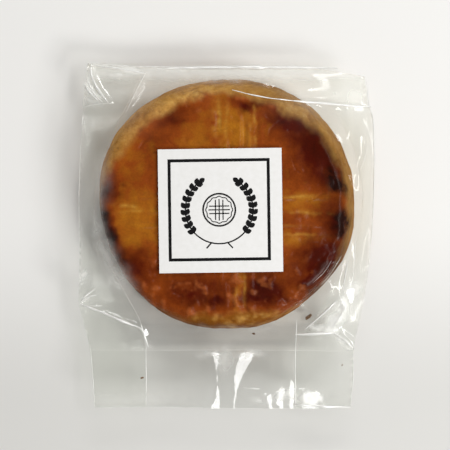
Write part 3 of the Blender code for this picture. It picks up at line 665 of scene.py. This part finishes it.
# Pleats down the tail that catch the light: for each a list of (y, left edge, right edge), and how far
# to the left of it the film starts to rise
bandLook = (
    (((-36.6, -4.4, -1.5), (-38.6, -3.9, -1.8), (-41.4, -3.2, -2.2), (-44.6, -3.1, -2.1), (-47.2, -3.4, -1.7),
      (-49.6, -4.1, -1.4), (-51.0, -4.3, -1.3)), 1.8),
    (((-36.6, 2.9, 7.2), (-38.8, 1.9, 6.2), (-41.4, 1.2, 4.6), (-43.6, 1.1, 3.6), (-46.2, 1.3, 2.6),
      (-49.0, 0.9, 2.2), (-51.0, 0.7, 1.9)), 2.6),
    (((-42.8, 14.9, 15.0), (-44.2, 14.7, 16.6), (-46.5, 14.6, 16.9), (-51.0, 14.7, 17.2)), 0.5),
    (((-44.6, 13.4, 13.6), (-45.8, 11.6, 14.2), (-47.4, 11.8, 14.3), (-51.0, 12.1, 14.4)), 0.5),
    (((-46.0, 10.4, 10.6), (-47.2, 8.9, 11.4), (-49.0, 9.2, 11.5), (-51.0, 9.6, 11.8)), 0.6),
    (((-45.6, 18.6, 18.8), (-46.2, 18.3, 22.6), (-47.6, 18.2, 23.4), (-49.2, 18.0, 23.7),
      (-51.0, 17.9, 23.8)), 1.4),
    (((-48.9, 23.2, 23.4), (-49.8, 23.4, 26.6), (-51.0, 23.8, 29.0)), 1.0),
)


def facetField(x, y, size, seed):
    # stiff film crumples into flat facets: chance heights at scattered points, joined by straight triangles
    chance = np.random.default_rng(seed)
    places = np.array([(i, j) for i in np.arange(-44, 44, size) for j in np.arange(-60, 44, size)])
    places = places + chance.uniform(-0.42, 0.42, places.shape) * size
    heights = chance.uniform(-1, 1, len(places))
    corners, _, triangles, origin, _, _ = delaunay_2d_cdt([Vector(p) for p in places], [], [], 0, 1e-6)
    field = np.zeros(x.shape)
    for triangle in triangles:
        (ax, ay), (bx, by), (cx, cy) = (corners[corner] for corner in triangle)
        high = [heights[origin[corner][0]] for corner in triangle]
        twice = (by - cy) * (ax - cx) + (cx - bx) * (ay - cy)
        if abs(twice) < 1e-6:
            continue
        first = ((by - cy) * (x - cx) + (cx - bx) * (y - cy)) / twice
        second = ((cy - ay) * (x - cx) + (ax - cx) * (y - cy)) / twice
        third = 1 - first - second
        inside = (first >= -1e-9) & (second >= -1e-9) & (third >= -1e-9)
        field = np.where(inside, first * high[0] + second * high[1] + third * high[2], field)
    return field


def crumple(x, y, facets):
    return sum(height * facetField(x, y, size, seed) for size, height, seed in facets)


def startFilm(look, x, y, side):
    # where a panel starts (side 1 in front, -1 behind), which points are held, how far the galette and
    # the bag's side edges are
    level = np.where(y < look["sealY"], tailLevel(x, y), look["midLevel"]) + side * spreadAt(y)
    fixed = y < look["sealY"]
    fixed[:, (0, -1)] = True
    fixed[(0, look["pouchRows"]), :] = True
    away = np.hypot(x, y) - outlineRadius(np.arctan2(y, x))
    edge = np.minimum(x - x[:, :1], x[:, -1:] - x)
    return level, fixed, away, edge


def frontFilm(look, x, y):
    level, fixed, away, edge = startFilm(look, x, y, 1)
    low = np.where(away < 0.4, cookieTop(x, y) + look["clearance"], -1)
    level = pullTight(level, fixed, low, np.full(x.shape, 99.0))
    for middleX, middleY, size, rise in look["puffs"]:
        puff = rise * np.exp(-((x - middleX) ** 2 + (y - middleY) ** 2) / size**2)
        level = level + puff * smoothStep(0, 3.0, edge) * (y > look["sealY"])
    free = smoothStep(0.1, 1.6, level - cookieTop(x, y) - look["clearance"]) * (y > look["sealY"])
    free *= smoothStep(0, 2.0, y - look["sealY"]) * smoothStep(0, 1.6, edge)
    free *= smoothStep(0.2, 2.2, look["weldY"] - y)
    level = level + free * crumple(x, y, look["facets"]) * (1 - patchField(x, y, look["calm"]))
    # where it bends over the galette's shoulder it lifts off a little here and there
    lift = np.abs(crumple(x, y, look["bendFacets"])) * smoothStep(21, 27, np.hypot(x, y))
    level = level + lift * (away < 0.4)
    tail = smoothStep(0, 2.0, look["sealY"] - y) * smoothStep(0, 1.5, edge)
    level = level + tail * (0.2 + crumple(x, y, look["tailFacets"]))
    for corners, height, width, _ in creaseLook:
        near, along = polylineDistance(x, y, corners)
        rise = np.clip(1 - near / width, 0, 1) ** 1.3
        level = level + height * rise * np.sin(math.pi * np.clip(along, 0.03, 0.97)) ** 0.5
    slope, change = look["mirrorSlope"]
    waveSteep = 2 * math.pi * look["waveHeight"] / look["waveLength"]
    for rows, lead in bandLook:
        depth, lefts, rights = zip(*rows)
        left, right = (np.interp(-y, [-place for place in depth], edges) for edges in (lefts, rights))
        left = left + 0.16 * np.sin(y * 4.1 + lefts[0]) + 0.1 * np.sin(y * 9.7 + lefts[0])
        # the slope that mirrors the lamp, less what the tail's own wave gives
        middle = (lefts[-1] + rights[-1]) / 2
        drop = slope + change * middle + waveSteep * math.cos(tailTurn(middle)) * tailShare(y)
        rising = np.clip((x - left + lead) / lead, 0, 1) * np.clip(right - left, 0, None)
        inside = np.where(x < left, rising, np.clip(right - x, 0, right - left))
        level = level + drop * inside * smoothStep(-0.1, 0.3, depth[0] - y)
    return np.maximum(level, np.where(away < 0.4, cookieTop(x, y) + look["clearance"] * 0.9, -1))


def backFilm(look, x, y):
    level, fixed, away, edge = startFilm(look, x, y, -1)
    table = np.full(x.shape, 0.04)
    level = pullTight(level, fixed, table, np.maximum(table, 1.6 * (away - 0.1)))
    free = smoothStep(0.3, 2.5, away) * smoothStep(0, 2.0, edge)
    free *= smoothStep(0, 2.5, y - look["sealY"]) * smoothStep(0, 2.5, look["weldY"] - y)
    return np.maximum(level + free * crumple(x, y, look["backFacets"]), table)


# painted shade: the film darkened where the table and galette behind it lie in shade
def filmShadeAt(points, look):
    clear = np.ones(len(points))
    for middleX, middleY, length, width, share in look["filmShade"]:
        reach = np.maximum(np.abs(points[:, 0] - middleX) / length, np.abs(points[:, 1] - middleY) / width)
        clear *= 1 - share * (1 - smoothStep(0.6, 1.15, reach))
    return 1 - clear


def sheetFaces(rows, columns, start, flip):
    first = start + np.arange(rows - 1)[:, None] * columns + np.arange(columns - 1)[None, :]
    quads = np.stack((first, first + columns, first + columns + 1, first + 1), -1).reshape(-1, 4)
    return quads[:, ::-1] if flip else quads


def buildFilm(look):
    x, y = filmGrid(look)
    front, back = frontFilm(look, x, y), backFilm(look, x, y)
    tail = y < look["sealY"]
    # in the tail the gussets lie between the two panels, so these stand further apart there
    tucked = (x < softEdgeAt(look["leftFold"], y)) | (x > softEdgeAt(look["rightFold"], y))
    gap = np.where(tucked, *look["gaps"])
    front = np.where(tail, np.maximum(front, tailLevel(x, y) + gap), front)
    back = np.where(tail, tailLevel(x, y) - gap, back)
    sheets = [(np.stack((x, y, front), -1), False), (np.stack((x, y, back), -1), True)]
    for side, fold, flip in ((0, look["leftFold"], True), (-1, look["rightFold"], False)):
        edgeX, edgeY = x[:, side], y[:, side]
        foldX = softEdgeAt(fold, edgeY)
        foldZ = np.where(edgeY < look["sealY"], tailLevel(foldX, edgeY), look["midLevel"])
        columns = []
        for step in range(2 * look["foldColumns"] + 1):
            share = 1 - abs(step / look["foldColumns"] - 1)
            edgeZ = front[:, side] if step <= look["foldColumns"] else back[:, side]
            placeX = edgeX + (foldX - edgeX) * share
            middle = np.where(edgeY < look["sealY"], tailLevel(placeX, edgeY), look["midLevel"])
            straight = edgeZ + (foldZ - edgeZ) * share
            layered = middle + (edgeZ - middle) * look["layerShare"] * (1 - share)
            placeZ = np.where(edgeY < look["sealY"], np.where(share > 0, layered, edgeZ), straight)
            columns.append(np.stack((placeX, edgeY, placeZ), -1))
        sheets.append((np.stack(columns, 1), flip))
    points, faces, start = [], [], 0
    for grid, flip in sheets:
        rows, columns = grid.shape[:2]
        points.append(grid.reshape(-1, 3))
        faces.append(sheetFaces(rows, columns, start, flip))
        start += rows * columns
    film = addMesh("filmBag", np.vstack(points), np.vstack(faces).tolist())
    selectOnly(film)
    bpy.ops.object.mode_set(mode="EDIT")
    bpy.ops.mesh.select_all(action="SELECT")
    bpy.ops.mesh.remove_doubles(threshold=0.001 * mm)
    bpy.ops.object.mode_set(mode="OBJECT")
    places = meshPoints(film.data)
    flat = places[:, :2].T
    # the whiter patches have torn edges, but for the straight band along the top
    torn = np.stack([noiseStack(places, ((1.0, 2.4, seed), (0.5, 0.8, seed))) for seed in (61, 62)])
    torn *= look["tear"] * (1 - 0.7 * smoothStep(29, 31, places[:, 1]))
    radius, width, share = look["greasy"]
    onShoulder = share * np.exp(-((np.hypot(*flat) - radius) / width) ** 4)
    # each look, and the one value that the gussets and the back have
    shares = {
        "filmShade": (filmShadeAt(places, look), 0),
        "scuffAndPaintedLight": (patchField(*(flat + torn), look["scuffAndPaintedLight"]), 0),
        "warm": (patchField(*flat, look["warm"]), 0),
        "dull": (np.maximum(patchField(*flat, look["dull"]), onShoulder), look["innerDull"]),
    }
    for name, (field, inner) in shares.items():
        field[x.size:] = inner
        saveAttribute(film.data, name, field)
    bpy.ops.object.shade_smooth_by_angle(angle=math.radians(30))
    film.data.materials.append(clearFilm("polypropylene_film_clear", **look["film"]))
    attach(film, "root")
    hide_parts("bag")
    return x, y, front, back


def clearFilm(name, hazeShare, edgeMirror, faceMirror, rough):
    # Oriented polypropylene film: clear, faintly grey, with a hard mirror gloss; whiter where it is folded,
    # with painted highlights and painted light in its whiter patches and painted shade in its greyer ones
    material, tree, shader = newMaterial(name)
    tree.nodes.remove(shader)
    # white haze: real whitening of scuffs and creases, with painted highlights, sheen and light
    scuffAndPaintedLight = maths(tree, "ADD", readAttribute(tree, "scuffAndPaintedLight"), hazeShare)
    tint = mixColour(tree, readAttribute(tree, "warm"), filmLook["clearTint"], filmLook["warmTint"])
    # painted shade: the film's tint darkened where shade falls behind it
    tint = mixColour(tree, readAttribute(tree, "filmShade"), tint, (0, 0, 0, 1))
    clear = addNode(tree, "ShaderNodeBsdfTransparent", {"Color": tint}).outputs[0]
    gloss = addNode(tree, "ShaderNodeBsdfAnisotropic", {"Color": (1, 1, 1, 1), "Roughness": rough}).outputs[0]
    haze = addNode(tree, "ShaderNodeBsdfDiffuse", {"Color": filmLook["haze"]}).outputs[0]
    # how much a film mirrors: 3% a face head on, nearly all edge on; its two faces add up as 2R / (1 + R)
    tilt = addNode(tree, "ShaderNodeLayerWeight", {"Blend": 0.5}).outputs["Facing"]
    face = maths(tree, "MULTIPLY_ADD", maths(tree, "POWER", tilt, 5.0), edgeMirror, faceMirror)
    both = maths(tree, "DIVIDE", maths(tree, "MULTIPLY", face, 2.0), maths(tree, "ADD", face, 1.0))
    mirror = maths(tree, "MULTIPLY", both, maths(tree, "SUBTRACT", 1.0, readAttribute(tree, "dull")))
    shiny = addNode(tree, "ShaderNodeMixShader", {0: mirror, 1: clear, 2: gloss}).outputs[0]
    hazy = addNode(tree, "ShaderNodeMixShader", {0: scuffAndPaintedLight, 1: shiny, 2: haze}).outputs[0]
    tree.links.new(hazy, tree.nodes["Material Output"].inputs["Surface"])
    return material


filmX, filmY, filmFront, filmBack = buildFilm(filmLook)
print("film folded round it")


# Fold edges: where film is creased hard it turns white and catches the light in thin lines; the white is
# partly a painted highlight along each crease

foldEdgeLook = {
    # the white haze is crease whitening, made strong as a painted highlight
    "film": {"hazeShare": 0.66, "edgeMirror": 0.1, "faceMirror": 0.5, "rough": 0.3},
    # corners and thickness: edges on the front film, and the gussets' inner folds, level halfway up
    "front": (
        (((-34.4, 34.4), (-20.5, 33.7), (0.0, 33.8), (20.3, 33.6), (30.2, 31.9), (33.7, 31.2)), 0.16),
        (((-17.5, 33.2), (8.0, 33.5), (27.0, 33.3)), 0.56),
        (((-21.3, -29.9), (-20.6, -32.4), (-19.6, -35.6)), 0.42),
        (((-20.2, -34.0), (-20.3, -36.8), (-20.2, -43.0), (-20.2, -50.3)), 0.13),
        (((16.8, -28.6), (16.8, -32.0), (16.7, -36.4)), 0.12),
        (((16.7, -35.6), (16.6, -43.0), (16.6, -50.0)), 0.22),
        (((-34.0, -35.4), (-33.4, -42.0), (-32.8, -50.3)), 0.13),
        (((31.1, -36.6), (31.0, -43.5), (30.3, -50.4)), 0.1),
        (((-32.8, -50.2), (-10.0, -50.4), (12.0, -50.5), (18.5, -50.5)), 0.07),
        (((16.5, -49.6), (23.0, -50.1), (30.3, -50.4)), 0.5),
        (((-34.0, -36.3), (-20.0, -36.4), (0.0, -36.3), (16.9, -36.4), (31.0, -36.6)), 0.05),
        (((34.2, 30.0), (34.6, 24.0), (35.7, 21.0), (35.9, 10.0), (35.7, 1.0), (35.3, -8.0)), 0.17),
        (((-36.1, 14.0), (-36.5, 0.8), (-36.3, -11.0)), 0.06),
    ),
    "gusset": (
        (((-21.7, 31.4), (-24.2, 25.6), (-27.0, 20.4), (-31.3, 10.7), (-33.2, 0.8), (-32.6, -6.6)), 0.12),
        (((-32.6, -6.6), (-28.6, -16.5), (-21.7, -28.9), (-20.2, -36.3)), 0.1),
        (((20.9, 31.4), (27.4, 21.8), (31.4, 13.1), (33.6, 3.3), (32.7, -6.6), (29.0, -16.5)), 0.08),
    ),
}


def smoothLine(corners, step=0.6):
    # a broken line made round: resampled evenly, then each point drawn towards its neighbours
    lengths = np.concatenate(([0], np.cumsum([math.dist(a, b) for a, b in zip(corners, corners[1:])])))
    count = max(8, int(lengths[-1] / step))
    along = np.linspace(0, lengths[-1], count)
    line = np.column_stack([np.interp(along, lengths, [c[axis] for c in corners]) for axis in (0, 1)])
    for _ in range(6):
        line[1:-1] = (line[:-2] + 2 * line[1:-1] + line[2:]) / 4
    return line


def filmLevels():
    # gives a function that reads the front film's height at a place, from its three nearest points
    tree = KDTree(filmX.size)
    for number, (x, y) in enumerate(zip(filmX.ravel(), filmY.ravel())):
        tree.insert((x, y, 0), number)
    tree.balance()
    levels = filmFront.ravel()

    def levelAt(x, y):
        near = tree.find_n((x, y, 0), 3)
        share = [1 / (away + 0.05) for _, _, away in near]
        return sum(levels[index] * part for (_, index, _), part in zip(near, share)) / sum(share)

    return levelAt


def buildFoldEdges(look):
    levelAt = filmLevels()
    curve = bpy.data.curves.new("filmFolds", "CURVE")
    curve.dimensions = "3D"
    curve.bevel_depth = 1 * mm
    curve.bevel_resolution = 1
    curve.use_fill_caps = True
    lines = [(corners, thick, film) for film in ("front", "gusset") for corners, thick in look[film]]
    lines += [(corners, edge, "front") for corners, _, _, edge in creaseLook if edge]
    for number, (corners, thick, film) in enumerate(lines):
        line = smoothLine(corners)
        spline = curve.splines.new("POLY")
        spline.points.add(len(line) - 1)
        for step, (point, (x, y)) in enumerate(zip(spline.points, line)):
            level = levelAt(x, y) if film == "front" else filmLook["midLevel"]
            point.co = (x * mm, y * mm, (level + 0.02) * mm, 1)
            # uneven along its run, and thin at both ends
            uneven = 0.75 + 0.6 * noise.noise(Vector((x / 3.0, y / 3.0, number)))
            along = min(max(step / (len(line) - 1), 0.02), 0.98)
            point.radius = thick * uneven * (0.25 + 0.75 * math.sin(math.pi * along) ** 0.5)
    folds = bpy.data.objects.new("filmFolds", curve)
    bpy.context.scene.collection.objects.link(folds)
    selectOnly(folds)
    bpy.ops.object.convert(target="MESH")
    folds = bpy.context.object
    folds.data.shade_smooth()
    folds.data.materials.clear()
    folds.data.materials.append(clearFilm("polypropylene_film_creased", **look["film"]))
    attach(folds, "root")
    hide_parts("bag")


buildFoldEdges(foldEdgeLook)
print("fold edges drawn")


# Label: white sticker paper with a black printed square and a wheat wreath round a scored biscuit

labelLook = {
    "side": 30.0, "middle": (-1.8, -1.9), "turn": 0.8, "cells": 30, "thick": 0.12,
    "printMiddle": (-2.1, -1.72), "frameSide": 24.0, "frameLine": 0.74, "line": 0.34, "inkLift": 0.02,
    "biscuit": 3.9, "wavyIn": 0.75, "waves": 12, "forkMarks": (-0.9, 0.0, 0.9), "forkIn": 1.3,
    # ears of wheat, angles in degrees from +X: radius, from where to where the stem runs, its lower end
    "wreath": 8.2, "stem": (-104, 52), "stemEnd": (3.2, -9.3),
    # grains: length and width, how many pairs, first angle, step, the tip's angle, how far they lean out
    "grain": (1.75, 0.62), "grains": 9, "firstGrain": -42, "grainStep": 11.2, "tip": 54, "lean": 0.62,
    "paper": ("#efeeeb", "#f4f3f1"), "fibreSize": 1.2, "paperRough": 0.5,
    "ink": "#060607", "inkRough": 0.7, "inkSpecular": 0.2,
}


def labelHeight(x, y):
    # just above the film that lies on the galette
    edge = cookieLook["width"] / 2 - cookieLook["sideLean"] - cookieLook["shoulderIn"]
    away = np.hypot(x - cookieLook["topShift"][0], y - cookieLook["topShift"][1])
    crown = cookieLook["height"] + cookieLook["dome"] + filmLook["clearance"] + labelLook["thick"] + 0.1
    return crown - cookieLook["dome"] * (away / edge) ** 2


def ring(radius, count=72, start=0.0, end=360.0):
    angles = np.radians(np.linspace(start, end, count))
    return np.column_stack((radius * np.cos(angles), radius * np.sin(angles)))


def stroke(line, width, closed=False):
    # a flat ribbon along a line, with mitred corners: its points and faces
    line = np.asarray(line, float)
    before = np.roll(line, 1, 0) if closed else np.vstack((line[:1] * 2 - line[1:2], line[:-1]))
    after = np.roll(line, -1, 0) if closed else np.vstack((line[1:], line[-1:] * 2 - line[-2:-1]))
    arriving, leaving = line - before, after - line
    arriving /= np.linalg.norm(arriving, axis=1)[:, None]
    leaving /= np.linalg.norm(leaving, axis=1)[:, None]
    side = np.column_stack((-(arriving + leaving)[:, 1], (arriving + leaving)[:, 0]))
    side /= np.linalg.norm(side, axis=1)[:, None]
    square = np.column_stack((-arriving[:, 1], arriving[:, 0]))
    reach = width / 2 / np.clip((side * square).sum(1), 0.4, 1)
    points = np.vstack((line + side * reach[:, None], line - side * reach[:, None]))
    count = len(line)
    starts = range(count if closed else count - 1)
    faces = [(i, (i + 1) % count, count + (i + 1) % count, count + i)[::-1] for i in starts]
    return points, faces


def leaf(base, turn, length, width):
    # a filled grain of wheat, pointed at both ends
    share = np.linspace(0, 1, 9)
    half = width * np.sin(math.pi * share) ** 0.8
    upper, lower = (np.column_stack((share * length, side)) for side in (half, -half))
    outline = np.vstack((upper, lower[-2:0:-1]))
    return turned(outline, math.degrees(turn)) + base, [tuple(range(len(outline)))[::-1]]


def printedShapes(look):
    half = look["frameSide"] / 2
    corners = np.array(((-half, -half), (half, -half), (half, half), (-half, half)))
    sides = [np.linspace(a, b, 13)[:-1] for a, b in zip(corners, np.roll(corners, -1, 0))]
    shapes = [stroke(np.vstack(sides), look["frameLine"], True)]
    # the biscuit: a ring with a wavy inner line and crossed fork marks
    angles = np.linspace(0, 2 * math.pi, 73)[:-1]
    shapes.append(stroke(ring(look["biscuit"], 73)[:-1], look["line"] * 1.2, True))
    wavy = look["biscuit"] - look["wavyIn"] + 0.12 * np.cos(angles * look["waves"])
    wavyLine = np.column_stack((wavy * np.cos(angles), wavy * np.sin(angles)))
    shapes.append(stroke(wavyLine, look["line"] * 0.7, True))
    for offset in look["forkMarks"]:
        reach = math.sqrt((look["biscuit"] - look["forkIn"]) ** 2 - offset**2)
        for line in (((offset, -reach), (offset, reach)), ((-reach, offset), (reach, offset))):
            shapes.append(stroke(np.linspace(*line, 8), look["line"] * 0.8))
    # two ears of wheat bent round it, with their stems crossed below
    for hand in (-1, 1):
        stem = ring(look["wreath"], 40, *look["stem"]) * (hand, 1)
        stem = np.vstack(((-hand * look["stemEnd"][0], look["stemEnd"][1]), stem))
        shapes.append(stroke(stem, look["line"]))
        pairs = [(look["firstGrain"] + number * look["grainStep"], side) for number in range(look["grains"])
                 for side in (-1, 1)]
        for degrees, side in pairs + [(look["tip"], 0)]:
            angle = math.radians(degrees)
            base = look["wreath"] * np.array((math.cos(angle) * hand, math.sin(angle)))
            along = angle + math.pi / 2 - side * look["lean"]
            shapes.append(leaf(base, along if hand > 0 else math.pi - along, *look["grain"]))
    return shapes


def buildLabel(look):
    bpy.ops.object.select_all(action="DESELECT")
    bpy.ops.mesh.primitive_grid_add(
        x_subdivisions=look["cells"], y_subdivisions=look["cells"], size=look["side"] * mm,
        location=(look["middle"][0] * mm, look["middle"][1] * mm, 0),
        rotation=(0, 0, math.radians(look["turn"])),
    )
    label = bpy.context.object
    label.name = label.data.name = "paperLabel"
    bpy.ops.object.transform_apply(location=True, rotation=True, scale=True)
    points = meshPoints(label.data)
    points[:, 2] = labelHeight(points[:, 0], points[:, 1])
    putPoints(label.data, points)
    thick = label.modifiers.new("paper", "SOLIDIFY")
    thick.thickness = look["thick"] * mm
    thick.offset = -1
    bpy.ops.object.modifier_apply(modifier="paper")
    label.data.materials.append(stickerPaper())
    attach(label, "root")
    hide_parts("label")


def buildPrint(look):
    # the ink lies just above the paper and follows its curve
    places, faces = [], []
    for points, shape in printedShapes(look):
        faces += [tuple(corner + sum(len(p) for p in places) for corner in face) for face in shape]
        places.append(points)
    x, y = turned(np.vstack(places), look["turn"]).T + np.array(look["printMiddle"])[:, None]
    ink = addMesh("printedInk", np.column_stack((x, y, labelHeight(x, y) + look["inkLift"])), faces)
    ink.data.materials.append(blackInk())
    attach(ink, "root")
    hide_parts("label")


def stickerPaper():
    # Coated white paper: even and slightly warm, with a dull sheen
    material, tree, shader = newMaterial("coated_sticker_paper")
    fibre = grainTexture(tree, labelLook["fibreSize"], 4.0)
    colour = ramp(tree, fibre, zip((0.3, 0.7), map(hexColour, labelLook["paper"])))
    tree.links.new(colour, shader.inputs["Base Color"])
    shader.inputs["Roughness"].default_value = labelLook["paperRough"]
    return material


def blackInk():
    # Black label ink: dense and slightly dull
    material, tree, shader = newMaterial("black_label_ink")
    shader.inputs["Base Color"].default_value = hexColour(labelLook["ink"])
    shader.inputs["Roughness"].default_value = labelLook["inkRough"]
    shader.inputs["Specular IOR Level"].default_value = labelLook["inkSpecular"]
    return material


buildLabel(labelLook)
buildPrint(labelLook)
print("label stuck on and printed")


# Crumbs that fell off the galette and lie in the bag

crumbLook = {
    # x, y, length, width, turn in degrees, which film they lie on
    "crumbs": (
        (20.2, -28.4, 1.8, 0.72, 40, "back"), (6.5, -32.6, 0.7, 0.42, -10, "back"),
        (-21.2, -43.2, 0.8, 0.36, 5, "tail"), (28.3, -40.0, 0.45, 0.3, 60, "tail"),
    ),
    "thick": 0.45, "colours": ("#6d4c2c", "#9c7a52"), "speckSize": 0.4, "rough": 0.85,
}


def buildCrumbs(look):
    crumbs = []
    for number, (x, y, length, width, turn, film) in enumerate(look["crumbs"]):
        nearest = int(np.argmin(np.hypot(filmX - x, filmY - y)))
        under = filmBack.ravel()[nearest] + look["thick"] / 2 + 0.05 if film == "back" else tailLevel(x, y)
        bpy.ops.object.select_all(action="DESELECT")
        bpy.ops.mesh.primitive_ico_sphere_add(subdivisions=3, radius=0.5 * mm)
        crumb = bpy.context.object
        points = meshPoints(crumb.data)
        points *= 1 + 0.9 * noiseField(points, 0.3, 80 + number)[:, None]
        points *= (length, width, look["thick"])
        points[:, :2] = turned(points[:, :2], turn)
        putPoints(crumb.data, points + (x, y, under))
        crumbs.append(crumb)
    bpy.ops.object.select_all(action="DESELECT")
    for crumb in crumbs:
        crumb.select_set(True)
    bpy.context.view_layer.objects.active = crumbs[0]
    bpy.ops.object.join()
    crumb = bpy.context.object
    crumb.name = crumb.data.name = "galetteCrumbs"
    crumb.data.shade_smooth()
    crumb.data.materials.append(crumbDough())
    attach(crumb, "root")


def crumbDough():
    # Broken crust: brown, dry and rough
    material, tree, shader = newMaterial("baked_crumb")
    speck = grainTexture(tree, crumbLook["speckSize"], 3.0)
    colour = ramp(tree, speck, zip((0.35, 0.7), map(hexColour, crumbLook["colours"])))
    tree.links.new(colour, shader.inputs["Base Color"])
    shader.inputs["Roughness"].default_value = crumbLook["rough"]
    return material


buildCrumbs(crumbLook)
print("crumbs scattered")


# Table and light

stageLook = {
    # painted shade: the table is a little darker towards the viewer, from the bag's middle to its tail
    "tableSize": 4000.0, "tableColour": "#f4f3f0", "tableShadeNear": "#dddcd8", "nearY": -52.0, "tableRough": 0.55,
    # name, place, width, height, power
    "lamps": (
        ("window", (520.0, -440.0, 540.0), 240.0, 240.0, 3.8),
        ("lampRight", (430.0, 20.0, 760.0), 580.0, 140.0, 2.25),
        ("lampTop", (60.0, 700.0, 620.0), 420.0, 160.0, 2.5),
    ),
    # how bright the room is at each height, from level (0) to straight overhead (1)
    "room": ((0.0, 0.37), (0.6, 0.34), (0.82, 0.24), (0.93, 0.05), (1.0, 0.01)),
}


def addSoftbox(name, place, width, height, power):
    lamp = bpy.data.objects.new(name, bpy.data.lights.new(name, "AREA"))
    lamp.data.shape = "RECTANGLE"
    lamp.data.size, lamp.data.size_y = width * mm, height * mm
    lamp.data.energy = power
    lamp.location = Vector(place) * mm
    lamp.rotation_euler = (-lamp.location).to_track_quat("-Z", "Y").to_euler()
    bpy.context.scene.collection.objects.link(lamp)


def setStage(look):
    bpy.ops.object.select_all(action="DESELECT")
    bpy.ops.mesh.primitive_plane_add(size=look["tableSize"] * mm, location=(0, 0, -0.02 * mm))
    table = bpy.context.object
    table.name = "table"
    material, tree, shader = newMaterial("white_laminate")
    where = addNode(tree, "ShaderNodeTexCoord").outputs["Object"]
    down = addNode(tree, "ShaderNodeSeparateXYZ", {"Vector": where}).outputs["Y"]
    links = {"Value": down, 1: 0.0, 2: look["nearY"] * mm}
    nearer = addNode(tree, "ShaderNodeMapRange", links, interpolation_type="SMOOTHSTEP").outputs[0]
    # painted shade, darker towards the viewer
    shadedTableTone = mixColour(tree, nearer, hexColour(look["tableColour"]), hexColour(look["tableShadeNear"]))
    tree.links.new(shadedTableTone, shader.inputs["Base Color"])
    shader.inputs["Roughness"].default_value = look["tableRough"]
    table.data.materials.append(material)
    for lamp in look["lamps"]:
        addSoftbox(*lamp)
    world = bpy.data.worlds.new("room")
    world.use_nodes = True
    tree = world.node_tree
    toward = addNode(tree, "ShaderNodeTexCoord").outputs["Generated"]
    height = addNode(tree, "ShaderNodeSeparateXYZ", {"Vector": toward}).outputs["Z"]
    stops = [(place, (light, light * 0.99, light * 0.97, 1)) for place, light in look["room"]]
    tree.links.new(ramp(tree, height, stops), tree.nodes["Background"].inputs["Color"])
    bpy.context.scene.world = world


setStage(stageLook)
print("table and lights set")
